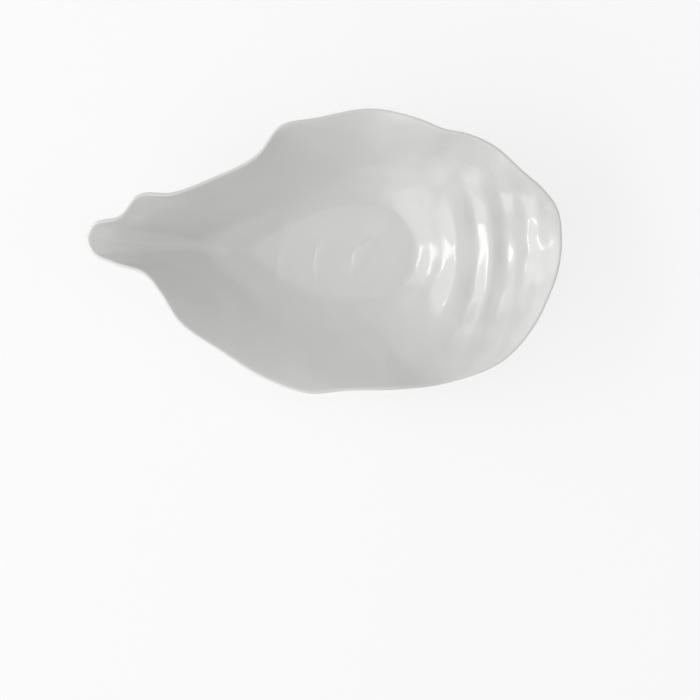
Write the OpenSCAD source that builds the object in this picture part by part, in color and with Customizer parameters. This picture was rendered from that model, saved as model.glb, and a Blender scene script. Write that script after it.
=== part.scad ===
// Shell plate: a dished porcelain plate in the shape of an oyster shell, on an oval foot ring.
// The tip of the shell points to -X and its wide end to +X. The plate stands on z = 0.

/* [Plate] */
// Length from the tip to the wide end
plate_length = 300; // [240:1:360]
// Width across the rim
plate_width = 179; // [150:1:220]
// Height of the highest point of the rim
plate_height = 62.5; // [52:0.5:76]

/* [Wall] */
// Thickness of the wall
wall = 5; // [4:0.5:7]
// Thickness of the rounded lip
lip = 2.4; // [1.6:0.2:4]
// Extra thickness of the wall in the beak at the tip
beak_extra = 4; // [0:0.5:6]
// Extra thickness of the wall in the trough between the floor and the beak
trough_extra = 3.6; // [0:0.2:5]
// Thickness of the floor
floor_thick = 6; // [4.5:0.5:8]

/* [Floor] */
// Length of the flat egg-shaped floor
floor_length = 100; // [84:1:106]
// Width of the floor where it is widest
floor_width = 61; // [50:1:66]
// Distance of the floor's middle from the plate's middle, towards the wide end
floor_shift = 6; // [0:1:12]
// Share by which the floor widens towards the wide end and narrows towards the tip
egg_share = 0.42; // [0:0.02:0.5]

/* [Foot] */
// Length of the foot ring
foot_length = 110; // [98:1:120]
// Width of the foot ring
foot_width = 74; // [66:1:82]
// Distance of the foot's middle from the plate's middle, towards the wide end
foot_shift = 2; // [0:1:8]
// Height of the foot ring
foot_height = 3.5; // [2.5:0.5:6]
// Breadth of the foot ring
foot_breadth = 6; // [4:0.5:9]
// Rebate of the foot ring's two lower edges
foot_rebate = 0.8; // [0.2:0.1:1.2]

/* [Ripples inside the wide end] */
// Height of the ripples above and below the wall
ripple_height = 1.6; // [0:0.1:2]
// Growth of the ripples: the ring between two of them has the area of a circle with this radius
ripple_radius = 48; // [40:1:60]
// Distance of the ripples' middle from the plate's middle, towards the wide end
ripple_shift = 40; // [30:1:50]

/* [Terraces under the wide end] */
// Depth of the terraces' steps
terrace_depth = 3.8; // [0:0.1:5]
// Steps between the foot and the rim
terrace_count = 6; // [4:1:8]

/* [Pleats beside the tip] */
// Depth of the pleats
pleat_depth = 4; // [0:0.1:4.5]
// Distance of the first pleat from the tip
first_pleat = 53; // [44:1:62]
// Factor by which each pleat is further from the tip than the one before
pleat_growth = 1.2; // [1.16:0.01:1.4]

/* [Facets] */
// Longest facet along the rim
rim_step = 10; // [9:1:16]
// Rows of facets across the floor
floor_rows = 5; // [3:1:6]
// Rows of facets up the inner wall
inner_rows = 20; // [12:1:22]
// Rows of facets around the lip
lip_rows = 3; // [2:1:4]
// Rows of facets down the outer wall
outer_rows = 30; // [16:1:32]
// Facets around the foot ring
foot_facets = 96; // [48:8:144]

/* [Hidden] */

// Rim as drawn: points [x, y, height] clockwise from the tip, scaled to the plate's size below
rim_drawn = [
    [-150, 7.5, 53], [-145.5, 17, 57], [-129, 22, 59], [-116.5, 35.5, 60],
    [-96, 36.5, 61], [-70, 46, 59], [-43.5, 59.5, 59], [-27.5, 78.5, 61],
    [-5.5, 83.5, 58], [31.5, 89.5, 55], [59, 83, 58], [75, 76.5, 58],
    [89.5, 73.5, 58], [104.5, 67, 57], [124.5, 50.5, 52], [139.5, 38, 46],
    [147.5, 28, 42], [150, 9, 46], [147.5, -11.5, 50], [140.5, -30.5, 53],
    [132.5, -46.5, 54], [113, -69, 54], [77.5, -83.5, 52], [42, -87, 60],
    [14, -87.5, 60], [-10.5, -89.5, 59], [-37.5, -81, 54], [-66.5, -63, 53],
    [-92.5, -43.5, 59], [-103.5, -25.5, 62], [-111.5, -15.5, 62], [-131.5, -8.5, 57],
    [-146, -1.5, 54]
];

// Rise of the wall from the floor's edge to the rim, as shares of its height at even steps outwards
side_rise = [0, 0.09, 0.25, 0.46, 0.71, 1];
wide_rise = [0, 0.25, 0.425, 0.52, 0.635, 1];
tip_rise = [0, 0.07, 0.14, 0.42, 0.74, 1];

// Slant of the wall where it leaves the floor, as a share of its slant over the first step
floor_crease = 0.8;

// How far the lip reaches beyond its inner edge, outwards and upwards, on the wall's slant
lip_reach = 0.9 * lip;
lip_rise = 0.2 * lip;

floor_middle = [floor_shift, 0];
floor_half = [floor_length / 2, floor_width / 2];
floor_z = foot_height + floor_thick;
foot_middle = [foot_shift, 0];
foot_half = [foot_length / 2, foot_width / 2];
ripple_middle = [ripple_shift, 0];

// Where the wall's thickness and relief change, as shares of the way from the floor's edge to the rim
heel_end = 0.3;
lip_start = 0.74;
keel_start = 0.9;
relief_end = [0.93, 1];
trough_start = [0, 0.4];
trough_end = [0.4, 0.8];
terrace_end = [0.82, 0.95];
ledge_start = [0.5, 0.57];
ledge_end = [0.62, 0.88];
pleat_top = [0.78, 0.97];

// Depth of the ledge along both sides, as a share of the terraces' depth
ledge_share = 0.4;

// Where the relief changes along and across the plate, as shares of half its length and width
beak_start = [-0.15, -0.5];
beak_thick = [-0.88, -0.97];
wide_start = [0.36, 0.63];
wide_end = [0.82, 0.33];
keel_side = [0.04, 0.2];

// Where the wall and its relief leave the foot's oval, as multiples of the oval
seat_end = [1, 1.12];
terrace_start = [1.3, 1.7];
pleat_onset = [1.1, 1.5];

// The ripples' main direction in degrees, and their length against their width
ripple_turn = -8;
ripple_flat = 0.75;

// Where the ripples start off their main direction, as the cosine of the angle, and from their middle
ripple_sector = [0.5, 0.96];
ripple_start = [ripple_radius / 3, ripple_radius];

// Where the ripples get lower outwards, and the share of their height that is left there
ripple_end = [1.15 * ripple_radius, 2 * ripple_radius];
ripple_left = 0.12;

// The ripples' place within their first turn, and their sharpness from 0 for round to 1 for straight slopes
ripple_phase = 0.8;
ridge_sharp = 0.94;

// Lean of the pleats towards the tip, and the share of their depth that is left under it
pleat_lean = 0.48;
keel_relief = 0.7;

// Where the pleats start and fade, in pleats from the first
pleat_start = [-0.9, 0.1];
pleat_end = [1.5, 4.6];

// Smooth step from 0 at the range's first value to 1 at its second
function ramp(range, x) =
    let (t = max(0, min(1, (x - range[0]) / (range[1] - range[0]))))
    t * t * (3 - 2 * t);

// Cubic from p to q with the tangents m and n at its ends
function cubic(p, q, m, n, t) =
    (2 * t ^ 3 - 3 * t ^ 2 + 1) * p + (t ^ 3 - 2 * t ^ 2 + t) * m
    + (3 * t ^ 2 - 2 * t ^ 3) * q + (t ^ 3 - t ^ 2) * n;

function mix(p, q, t) = p + (q - p) * t;
function unit(v) = v / norm(v);
function plan(p) = [p.x, p.y];
function column(points, k) = [for (p = points) p[k]];
function middle(values) = (max(values) + min(values)) / 2;
function span(values) = max(values) - min(values);
function around(list, i) = list[(i + len(list)) % len(list)];

// Rim at the plate's size, less the lip's rise
drawn_middle = [middle(column(rim_drawn, 0)), middle(column(rim_drawn, 1))];
rim_scale = [
    plate_length / span(column(rim_drawn, 0)),
    plate_width / span(column(rim_drawn, 1)),
    (plate_height - lip_rise) / max(column(rim_drawn, 2))
];
rim_points = [for (p = rim_drawn) [
    (p.x - drawn_middle.x) * rim_scale.x,
    (p.y - drawn_middle.y) * rim_scale.y,
    p.z * rim_scale.z
]];

// The same rim with its corners eased, in height more often than in plan, which the wall follows lower down
function eased(points, times) =
    times == 0 ? points
    : eased([
        for (i = [0:len(points) - 1])
            (around(points, i - 1) + 2 * points[i] + around(points, i + 1)) / 4
    ], times - 1);
eased_plan = eased(rim_points, 3);
eased_height = eased(rim_points, 8);
eased_points = [for (i = [0:len(rim_points) - 1]) [eased_plan[i].x, eased_plan[i].y, eased_height[i].z]];

// Smooth closed curve through points, with tangents weighted by the chords on both sides
function chord(points, i) = norm(plan(around(points, i + 1) - around(points, i)));
function heading(points, i) = (around(points, i + 1) - around(points, i)) / chord(points, i);
function tangent(points, i) =
    let (before = chord(points, i - 1), after = chord(points, i))
    (before * heading(points, i) + after * heading(points, i - 1)) / (before + after);
function curve_point(points, i, t) =
    let (reach = chord(points, i))
    cubic(points[i], around(points, i + 1), reach * tangent(points, i), reach * tangent(points, i + 1), t);
function closed_curve(points) = [
    for (i = [0:len(points) - 1])
        let (steps = ceil(chord(rim_points, i) / rim_step))
        for (k = [0:steps - 1]) curve_point(points, i, k / steps)
];

// Moves a closed clockwise curve inwards
function inset(curve, by) = [
    for (i = [0:len(curve) - 1])
        let (along = around(curve, i + 1) - around(curve, i - 1))
        curve[i] - by * unit([-along.y, along.x, 0])
];
inner_rim = inset(closed_curve(rim_points), lip_reach);
eased_rim = inset(closed_curve(eased_points), lip_reach);
rays = len(inner_rim);
function next(i) = (i + 1) % rays;
function previous(i) = (i + rays - 1) % rays;

// Width of the egg-shaped floor at an angle around its middle, against its largest width
function girth(a) = sin(a) * (1 + egg_share * cos(a));
egg_widest = max([for (a = [0:180]) girth(a)]);

// Each ray runs from the floor's edge to the rim, at the same angle around the floor
ray_angle = [
    for (p = inner_rim)
        atan2((p.y - floor_middle.y) / floor_half.y, (p.x - floor_middle.x) / floor_half.x)
];
floor_edge = [
    for (a = ray_angle) floor_middle + [floor_half.x * cos(a), floor_half.y * girth(a) / egg_widest]
];

// Shares of the wide end's and the tip's wall profile on each ray
wide_share = [for (a = ray_angle) max(0, cos(a)) ^ 2];
tip_share = [for (a = ray_angle) max(0, -cos(a)) ^ 4];

// A wall profile's rise at w, from 0 at the floor's edge to 1 at the rim
function rise_slope(rise, k) =
    k == 0 ? floor_crease * rise[1]
    : k == len(rise) - 1 ? rise[k] - rise[k - 1]
    : (rise[k + 1] - rise[k - 1]) / 2;
function rise_at(rise, w) =
    let (x = w * (len(rise) - 1), k = min(len(rise) - 2, floor(x)))
    cubic(rise[k], rise[k + 1], rise_slope(rise, k), rise_slope(rise, k + 1), x - k);

// Smooth wall, before its relief
function wall_point(i, w) =
    let (
        top = mix(eased_rim[i], inner_rim[i], w ^ 4),
        flat = mix(floor_edge[i], plan(top), w),
        side = rise_at(side_rise, w),
        wide = rise_at(wide_rise, w),
        tip = rise_at(tip_rise, w),
        rise = side + wide_share[i] * (wide - side) + tip_share[i] * (tip - side)
    )
    [flat.x, flat.y, mix(floor_z, top.z, rise)];
tiny = 0.001;
function wall_up(i, w) = unit(wall_point(i, min(1, w + tiny)) - wall_point(i, max(0, w - tiny)));
function wall_normal(i, w) =
    unit(cross(wall_point(next(i), w) - wall_point(previous(i), w), wall_up(i, w)));

// Place on the plate as shares of half its length and width, so that the relief follows the outline
function share(p) = [2 * p.x / plate_length, 2 * p.y / plate_width];

// Ripples: oval rings around a point towards the wide end, which they fade away from
function ripple(p) =
    let (
        away = [p.x - ripple_middle.x, ripple_flat * (p.y - ripple_middle.y)],
        far = max(tiny, norm(away)),
        towards = away * [cos(ripple_turn), sin(ripple_turn)] / far,
        turns = (far / ripple_radius) ^ 2 - ripple_phase,
        ridge = asin(ridge_sharp * cos(360 * turns)) / asin(ridge_sharp),
        left = mix(1, ripple_left, ramp(ripple_end, far))
    )
    ripple_height * ramp(ripple_sector, towards) * ramp(ripple_start, far) * left * ridge;

// One step of a terrace or pleat: a slow rise and a steep fall, for each whole turn
function step_shape(turns) =
    let (f = turns - floor(turns))
    f ^ 1.3 * (1 - ramp([0.76, 1], f));

// Terraces: steps parallel to the rim under the wide end, and one soft ledge along both sides
function terrace(p, w) =
    let (
        s = share(p),
        wander = 0.2 * sin(400 * s.x + 57) * cos(190 * s.y),
        wide = ramp(wide_start, s.x) * ramp(wide_end, abs(s.y)),
        steps = wide * step_shape(terrace_count * w + wander) * (1 - ramp(terrace_end, w)),
        ledge = ledge_share * (1 - wide) * ramp(ledge_start, w) * (1 - ramp(ledge_end, w))
    )
    terrace_depth * (1 - ramp(beak_start, s.x)) * (steps + ledge);

// Pleats: layers beside the tip, on lines that lean towards it as they climb
tip_point = rim_points[0];
function pleat(p, w) =
    let (
        away = max(first_pleat / 4, p.x - tip_point.x + pleat_lean * (p.z - foot_height)),
        number = ln(away / first_pleat) / ln(pleat_growth),
        side = mix(keel_relief, 1, ramp(keel_side, abs(share(p - tip_point).y))),
        depth = pleat_depth * side * ramp(pleat_start, number) * (1 - ramp(pleat_end, number))
    )
    depth * ramp(beak_start, share(p).x) * (1 - ramp(pleat_top, w)) * step_shape(number);

// Distance from the foot's middle, as a multiple of the foot's outer oval
function foot_share(p) = norm([(p.x - foot_middle.x) / foot_half.x, (p.y - foot_middle.y) / foot_half.y]);

// Points of the floor, the inner wall with its filled trough, the lip and the outer wall
function floor_point(i, q) =
    let (flat = mix(floor_middle, floor_edge[i], q))
    [flat.x, flat.y, floor_z + ripple(flat)];
function trough(i, w) = trough_extra * tip_share[i] * ramp(trough_start, w) * (1 - ramp(trough_end, w));
function inner_point(i, w) =
    let (p = wall_point(i, w), relief = ripple(p) * (1 - ramp(relief_end, w)) + trough(i, w))
    p + wall_normal(i, w) * relief;
function lip_point(i, turn) =
    wall_point(i, 1) + lip / 2 * ((cos(turn) - 1) * wall_normal(i, 1) + sin(turn) * wall_up(i, 1));
function outer_point(i, w) =
    let (
        keel = ramp(beak_thick, share(inner_rim[i]).x),
        heel = mix(floor_thick, wall + beak_extra * keel, ramp([0, heel_end], w)),
        thick = mix(lip, heel, ramp([1, mix(lip_start, keel_start, keel)], w)),
        n = wall_normal(i, w),
        plain = wall_point(i, w) - thick * n,
        clear = foot_share(plain),
        relief = terrace(plain, w) * ramp(terrace_start, clear) + pleat(plain, w) * ramp(pleat_onset, clear),
        p = plain - relief * n
    )
    [p.x, p.y, foot_height + max(0, p.z - foot_height) * ramp(seat_end, clear)];

// The shell's rows of points, from the floor's middle out over the rim to the foot's seat
shell_rows = concat(
    [for (j = [1:floor_rows - 1]) [for (i = [0:rays - 1]) floor_point(i, j / floor_rows)]],
    [for (j = [0:inner_rows]) [for (i = [0:rays - 1]) inner_point(i, j / inner_rows)]],
    [for (j = [1:lip_rows]) [for (i = [0:rays - 1]) lip_point(i, 180 * j / (lip_rows + 1))]],
    [for (j = [0:outer_rows]) [for (i = [0:rays - 1]) outer_point(i, 1 - j / outer_rows)]]
);
last_row = len(shell_rows) - 1;
floor_pole = len(shell_rows) * rays;
seat_pole = floor_pole + 1;
function corner(j, i) = j * rays + i;
shell_points = concat(
    [for (row = shell_rows) each row],
    [[floor_middle.x, floor_middle.y, floor_z], [floor_middle.x, floor_middle.y, foot_height]]
);

// The points moved so that the shell has the plate's length, width and height
low = [for (k = [0:2]) min(column(shell_points, k))];
high = [for (k = [0:2]) max(column(shell_points, k))];
function fitted(p) = [
    ((p.x - low.x) / (high.x - low.x) - 1 / 2) * plate_length,
    ((p.y - low.y) / (high.y - low.y) - 1 / 2) * plate_width,
    mix(foot_height, plate_height, (p.z - foot_height) / (high.z - foot_height))
];

module shell_body() {
    faces = concat(
        [for (i = [0:rays - 1]) [floor_pole, corner(0, i), corner(0, next(i))]],
        [for (j = [0:last_row - 1], i = [0:rays - 1])
            each [
                [corner(j, i), corner(j + 1, i), corner(j + 1, next(i))],
                [corner(j, i), corner(j + 1, next(i)), corner(j, next(i))]
            ]],
        [for (i = [0:rays - 1]) [seat_pole, corner(last_row, next(i)), corner(last_row, i)]]
    );
    color("whitesmoke") polyhedron([for (p = shell_points) fitted(p)], faces, convexity = 8);
}

// Oval of the foot, drawn in by the given distance
module foot_oval(by) {
    polygon([
        for (k = [0:foot_facets - 1])
            let (a = 360 * k / foot_facets)
            foot_middle + [(foot_half.x - by) * cos(a), (foot_half.y - by) * sin(a)]
    ]);
}

// Part of the foot ring, from one height to another, with both its edges drawn in
module foot_band(from, to, by) {
    translate([0, 0, from]) linear_extrude(to - from) difference() {
        foot_oval(by);
        foot_oval(foot_breadth - by);
    }
}

module foot_ring() {
    color("linen") {
        foot_band(0, foot_rebate, foot_rebate);
        foot_band(foot_rebate, foot_height, 0);
    }
}

shell_body();
foot_ring();
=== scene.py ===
"""Shell plate: a glazed porcelain plate in the shape of an oyster shell, on an unglazed oval foot ring."""

import math

import bpy
import numpy as np
from bpy.props import FloatProperty, FloatVectorProperty, IntProperty, PointerProperty
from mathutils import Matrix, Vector


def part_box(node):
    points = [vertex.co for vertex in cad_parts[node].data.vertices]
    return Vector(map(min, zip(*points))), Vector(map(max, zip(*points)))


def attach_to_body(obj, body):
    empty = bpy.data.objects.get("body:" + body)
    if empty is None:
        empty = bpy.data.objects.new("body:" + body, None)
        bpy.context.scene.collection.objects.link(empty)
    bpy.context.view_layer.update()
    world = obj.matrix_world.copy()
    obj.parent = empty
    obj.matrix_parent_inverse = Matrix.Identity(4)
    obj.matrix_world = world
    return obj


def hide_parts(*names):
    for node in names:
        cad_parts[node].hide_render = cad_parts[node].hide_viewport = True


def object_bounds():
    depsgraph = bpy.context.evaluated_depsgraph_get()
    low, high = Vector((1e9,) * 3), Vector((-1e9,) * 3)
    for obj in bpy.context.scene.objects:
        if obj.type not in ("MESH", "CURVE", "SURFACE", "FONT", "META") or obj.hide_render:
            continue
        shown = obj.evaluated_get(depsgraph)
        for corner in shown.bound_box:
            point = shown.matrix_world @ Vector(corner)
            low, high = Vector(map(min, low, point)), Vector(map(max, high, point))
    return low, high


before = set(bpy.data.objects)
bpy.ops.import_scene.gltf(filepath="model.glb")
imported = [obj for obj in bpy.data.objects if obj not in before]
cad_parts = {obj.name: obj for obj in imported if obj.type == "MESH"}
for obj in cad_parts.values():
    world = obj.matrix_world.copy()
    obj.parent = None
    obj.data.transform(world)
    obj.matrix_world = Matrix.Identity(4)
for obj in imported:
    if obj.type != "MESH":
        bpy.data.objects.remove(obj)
CAD_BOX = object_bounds()
FOOT_LOW, FOOT_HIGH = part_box("foot_ring")

bl_info = {
    "name": "Shell plate",
    "version": (1, 0, 0),
    "blender": (4, 5, 0),
    "location": "View3D > Sidebar > Shell plate",
    "description": "Makes a glazed porcelain plate in the shape of an oyster shell",
    "category": "Add Mesh",
}

# Rim as drawn, in millimetres: points [x, y, height] clockwise from the tip
RIM_DRAWN = np.array([
    [-150, 7.5, 53], [-145.5, 17, 57], [-129, 22, 59], [-116.5, 35.5, 60],
    [-96, 36.5, 61], [-70, 46, 59], [-43.5, 59.5, 59], [-27.5, 78.5, 61],
    [-5.5, 83.5, 58], [31.5, 89.5, 55], [59, 83, 58], [75, 76.5, 58],
    [89.5, 73.5, 58], [104.5, 67, 57], [124.5, 50.5, 52], [139.5, 38, 46],
    [147.5, 28, 42], [150, 9, 46], [147.5, -11.5, 50], [140.5, -30.5, 53],
    [132.5, -46.5, 54], [113, -69, 54], [77.5, -83.5, 52], [42, -87, 60],
    [14, -87.5, 60], [-10.5, -89.5, 59], [-37.5, -81, 54], [-66.5, -63, 53],
    [-92.5, -43.5, 59], [-103.5, -25.5, 62], [-111.5, -15.5, 62], [-131.5, -8.5, 57],
    [-146, -1.5, 54],
], float)

# Rise of the wall from the floor's edge to the rim, as shares of its height at even steps outwards, at the
# sides, the wide end and the tip
SIDE_RISE = np.array([0, 0.09, 0.25, 0.46, 0.71, 1])
WIDE_RISE = np.array([0, 0.25, 0.425, 0.52, 0.635, 1])
TIP_RISE = np.array([0, 0.07, 0.14, 0.42, 0.74, 1])

# Powers that say how closely the last two keep to the wide end and to the tip
WIDE_POWER = 2
TIP_POWER = 4

# Slant of the wall where it leaves the floor, as a share of its slant over the first step
FLOOR_CREASE = 0.35

# Share by which the floor widens towards the wide end and narrows towards the tip, and the number of places
# at which its largest width is looked for
EGG_SHARE = 0.42
EGG_PLACES = 181

# How often the rim's corners are eased for the wall below it, in plan and in height, and the power by which
# the wall changes over to the true rim
EASED_PLAN = 3
EASED_HEIGHT = 8
RIM_POWER = 4

# How far the lip reaches beyond its inner edge, outwards and upwards, as shares of its thickness
LIP_REACH = 0.9
LIP_RISE = 0.2

# Step over which the wall's direction is measured, as a share of the way from the floor's edge to the rim,
# and the least distance in metres that is divided by
UP_STEP = 0.001
LEAST_FAR = 1e-6

# Where the wall's thickness and relief change, as shares of the way from the floor's edge to the rim
HEEL_END = 0.3
LIP_START = 0.74
KEEL_START = 0.9
RELIEF_END = (0.93, 1.0)
TROUGH_START = (0.0, 0.4)
TROUGH_END = (0.4, 0.8)
TERRACE_END = (0.82, 0.95)
LEDGE_START = (0.5, 0.57)
LEDGE_END = (0.62, 0.88)
PLEAT_TOP = (0.78, 0.97)
CREASE_HEIGHT = (0.1, 0.3)
WRINKLE_TOP = (0.65, 0.97)

# Where the relief changes along and across the plate, as shares of half its length and width
BEAK_START = (-0.15, -0.5)
BEAK_THICK = (-0.88, -0.97)
WIDE_START = (0.36, 0.63)
WIDE_END = (0.82, 0.33)
CREASE_START = (0.15, -0.1)
CREASE_END = (-0.4, -0.7)
WAVES_START = (-0.2, 0.4)
WAVES_WIDE = (0.6, 0.85)
KEEL_SIDE = (0.04, 0.2)

# Where the wall and its relief leave the foot's edge, as multiples of the foot
SEAT_END = (1.0, 1.12)
TERRACE_START = (1.3, 1.7)
PLEAT_ONSET = (1.1, 1.5)

# Where the ripples start, as the cosine of the angle off their main direction, that direction in degrees,
# and the part of a turn from their middle to the first crest
RIPPLE_SECTOR = (0.64, 0.98)
RIPPLE_TURN = -8.0
RIPPLE_START = 0.84

# The ripples' length against their width, as seen from above, their growth against the radius that stays
# free of them, and their sharpness, from 0 for round waves to 1 for straight slopes
RIPPLE_FLAT = 0.75
RIPPLE_FREE = 3
RIDGE_SHARP = 0.94

# Where the ripples get lower outwards, in multiples of their growth, and what is left of them there
RIPPLE_END = (1.15, 2.0)
RIPPLE_LEFT = 0.12

# Where the crescent steps of the floor start and end, in steps from their middle, how much further out they
# lie, where in a step the fall is, and where a step fades, as shares of its reach
CRESCENT_START = (0.3, 0.7)
CRESCENT_END = (3.1, 3.5)
CRESCENT_LAG = 0.07
CRESCENT_RISER = (0.82, 1.0)
CRESCENT_FADE = (0.3, 1.0)

# Direction of each crescent's middle from their common middle and its reach to both sides, in degrees, and
# its share of the full height
CRESCENT_MIDDLE = np.array([147.0, 147.0, 173.0, 170.0])
CRESCENT_REACH = np.array([50.0, 50.0, 22.0, 20.0])
CRESCENT_SHARE = np.array([1.3, 1.3, 1.0, 1.0])

# Height of the uneven waves near the tip and at the wide end's edge, against the rest
WAVES_TIP = 0.6
WAVES_EDGE = 1.8

# Power of the slow rise in a terrace, pleat or crease, and where in it the steep fall is
STEP_POWER = 1.3
STEP_FALL = (0.76, 1.0)

# Height of the ledge and of the fine terraces against the terraces, and number of fine ones in each
LEDGE_SHARE = 0.4
TERRACE_FINE = 0.15
TERRACE_FINE_COUNT = 2.6

# Growth of the pleats' distance from the tip, their lean, where they start and fade, in pleats from the
# first, and the least distance from the tip, as a share of the first pleat's
PLEAT_GROWTH = 1.2
PLEAT_LEAN = 0.48
PLEAT_START = (-2.6, -0.6)
PLEAT_END = (1.5, 4.6)
PLEAT_LEAST = 0.25

# Height of the fine pleats against the pleats, number of fine ones in each, and what is left of all of them
# under the tip
PLEAT_FINE = 0.3
PLEAT_FINE_COUNT = 2.3
KEEL_RELIEF = 0.7

# Lean of the creases, of the coarse and of the fine streaks, and how close the pattern of the level streaks
# lies upwards and that of the leaning ones along their lean
CREASE_LEAN = 0.9
STREAK_LEAN = 0.4
STREAK_LEAN_FINE = -0.3
STREAK_CLOSE = 3.0
LEANING_CLOSE = 0.3

# Share of the streaks in the wrinkles, and the share of the wrinkles and creases that fades towards the rim
STREAK_SHARE = 0.6
WRINKLE_FADE = 0.7

# How close the unevenness of terraces and pleats lies upwards, in their depth and in their finer path
DEPTH_CLOSE = 1.5
PATH_CLOSE = 2

# Random fields of the relief: share, pitch in metres and seed
FIELDS = {
    "ripple_path": (0.1, 0.031, 61),
    "ripple_strength": (0.35, 0.019, 253),
    "crescent_path": (0.06, 0.024, 8),
    "crescent_path_fine": (0.04, 0.009, 19),
    "waves": (1.0, 0.027, 338),
    "waves_fine": (0.35, 0.0095, 375),
    "terrace_path": (0.4, 0.031, 21),
    "terrace_path_fine": (0.1, 0.013, 22),
    "terrace_depth": (0.5, 0.017, 23),
    "fine_terrace_path": (0.6, 0.012, 24),
    "ledge_path": (0.05, 0.037, 25),
    "pleat_path": (0.3, 0.030, 26),
    "pleat_path_fine": (0.08, 0.012, 27),
    "pleat_depth": (0.5, 0.017, 28),
    "fine_pleat_path": (0.4, 0.011, 29),
    "streaks": (2.0, 0.030, 41),
    "streaks_fine": (1.4, 0.014, 42),
    "lumps": (0.6, 0.017, 43),
    "leaning": (1.0, 0.013, 44),
    "leaning_fine": (0.6, 0.007, 45),
    "crease_path": (0.4, 0.026, 46),
    "crease_path_fine": (0.1, 0.010, 47),
    "crease_depth": (0.6, 0.021, 48),
}

# Number of values along each side of a random field's grid, after which it repeats
FIELD_GRID = 64

# Depth in metres of a hollow where the glaze pools deepest and its painted shade is darkest, and the rows
# and columns it is measured over
HOLLOW_DEPTH = 0.0008
HOLLOW_ROWS = 2
HOLLOW_COLUMNS = 3

# Roughness of the glaze inside and outside, what its clouds add to it, and its index of refraction
GLAZE_ROUGHNESS = (0.09, 0.32)
GLAZE_UNEVEN = 0.05
GLAZE_IOR = 1.5

# Share of the clouds in the glaze's depth and painted shade, of the specks in its colour and of the fine
# waves in its bump
GLAZE_CLOUD = 0.3
GLAZE_SPECKS = 0.12
GLAZE_PEEL = 0.12

# Roughness of the clay where it is free and where it stands
CLAY_ROUGHNESS = (0.88, 0.7)

# Shares of the clouds, the rubbing and the specks in the clay's colour
CLAY_CLOUD = 0.35
CLAY_RUBBED = 0.22
CLAY_SPECKS = 0.4

WHITE = (1.0, 1.0, 1.0, 1.0)

# Numbers of a Mix node's mask, its two colours and the colour that it gives
MIX_MASK = 0
MIX_FIRST = 6
MIX_SECOND = 7
MIX_RESULT = 2

# Place, target and size of each lamp in metres, and its watts
LAMPS = {
    "window": ((-1.22, 0.12, 0.9), (0.08, 0.0, 0.03), (0.62, 0.14), 2.0),
    "wall": ((-2.2, -0.5, 1.2), (0.0, 0.0, 0.03), (6.8, 2.3), 32.0),
    "curtain": ((-2.1, -0.5, 1.1), (0.0, 0.0, 0.03), (4.4, 1.5), 22.5),
    "overhead": ((0.1, 0.28, 1.6), (0.0, 0.0, 0.0), (1.2, 1.2), 2.3),
    "fill": ((1.6, -0.2, 1.2), (-0.1, 0.0, 0.03), (1.6, 1.6), 4.2),
}

# Half the floor's side and the height that the camera's distance is measured from, in metres
FLOOR_HALF = 3.0
RIM_Z = 0.055

# Side of the square image in pixels, and width of the camera's sensor in millimetres
IMAGE_PX = 700
SENSOR_MM = 36.0


def length(name, description, default):
    """A size in metres, as a property."""
    return FloatProperty(name=name, description=description, default=default, min=0.0,
                         precision=4, subtype="DISTANCE", unit="LENGTH")


def count(name, description, default, least):
    """A whole number, as a property."""
    return IntProperty(name=name, description=description, default=default, min=least)


def colour(name, description, default):
    """A linear colour, as a property."""
    return FloatVectorProperty(name=name, description=description, default=default, size=3,
                               min=0.0, max=1.0, subtype="COLOR")


def pixels(name, description, default):
    """A place in the image, as a property."""
    return FloatProperty(name=name, description=description, default=default, subtype="PIXEL")


class ShellSizes(bpy.types.PropertyGroup):
    """Sizes of the porcelain shell and its relief."""

    plate_length: length("Length", "Length from the tip to the wide end", 0.300)
    plate_width: length("Width", "Width across the rim", 0.179)
    plate_height: length("Height", "Height of the highest point of the rim", 0.0625)
    wall: length("Wall", "Thickness of the wall", 0.005)
    lip: length("Lip", "Thickness of the rounded lip", 0.0024)
    beak_extra: length("Beak", "Extra thickness of the wall in the beak at the tip", 0.004)
    trough_extra: length("Trough", "Extra thickness of the wall between the floor and the beak", 0.0036)
    floor_thick: length("Floor", "Thickness of the floor", 0.006)
    floor_length: length("Floor length", "Length of the flat egg-shaped floor", 0.100)
    floor_width: length("Floor width", "Width of the floor where it is widest", 0.061)
    floor_shift: length("Floor shift", "Distance of the floor's middle from the plate's middle", 0.006)
    ripple_height: length("Ripples", "Height of the ripples inside the wide end", 0.0016)
    ripple_radius: length("Ripple growth", "Radius of a circle as large as a ring between ripples", 0.048)
    ripple_shift: length("Ripple shift", "Distance of the ripples' middle from the plate's middle", 0.042)
    crescent_height: length("Crescents", "Height of the crescent steps across the floor", 0.0016)
    crescent_shift: length("Crescent shift", "Distance of the crescents' middle along the plate", 0.040)
    crescent_pitch: length("Crescent pitch", "Distance from one crescent step to the next", 0.0237)
    crescent_offset: length("Crescent offset", "Distance of the crescents' middle across the plate", 0.0113)
    hand_waves: length("Hand waves", "Height of the uneven waves in the bowl", 0.0008)
    wrinkles: length("Wrinkles", "Height of the uneven wrinkles outside", 0.0013)
    crease_depth: length("Creases", "Depth of the leaning creases outside", 0.0016)
    crease_pitch: length("Crease pitch", "Distance from one leaning crease to the next", 0.021)
    terrace_depth: length("Terraces", "Depth of the terraces under the wide end", 0.0038)
    terrace_count: count("Terrace count", "Steps between the foot and the rim", 6, 1)
    pleat_depth: length("Pleats", "Depth of the pleats beside the tip", 0.0040)
    first_pleat: length("First pleat", "Distance of the first pleat from the tip", 0.053)
    rim_step: length("Rim step", "Longest face along the rim", 0.0017)
    floor_rows: count("Floor rows", "Rows of faces from the floor's middle to its edge", 36, 2)
    inner_rows: count("Inner rows", "Rows of faces up the inner wall", 72, 2)
    lip_rows: count("Lip rows", "Rows of points around the lip", 7, 2)
    outer_rows: count("Outer rows", "Rows of faces down the outer wall", 92, 2)


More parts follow.
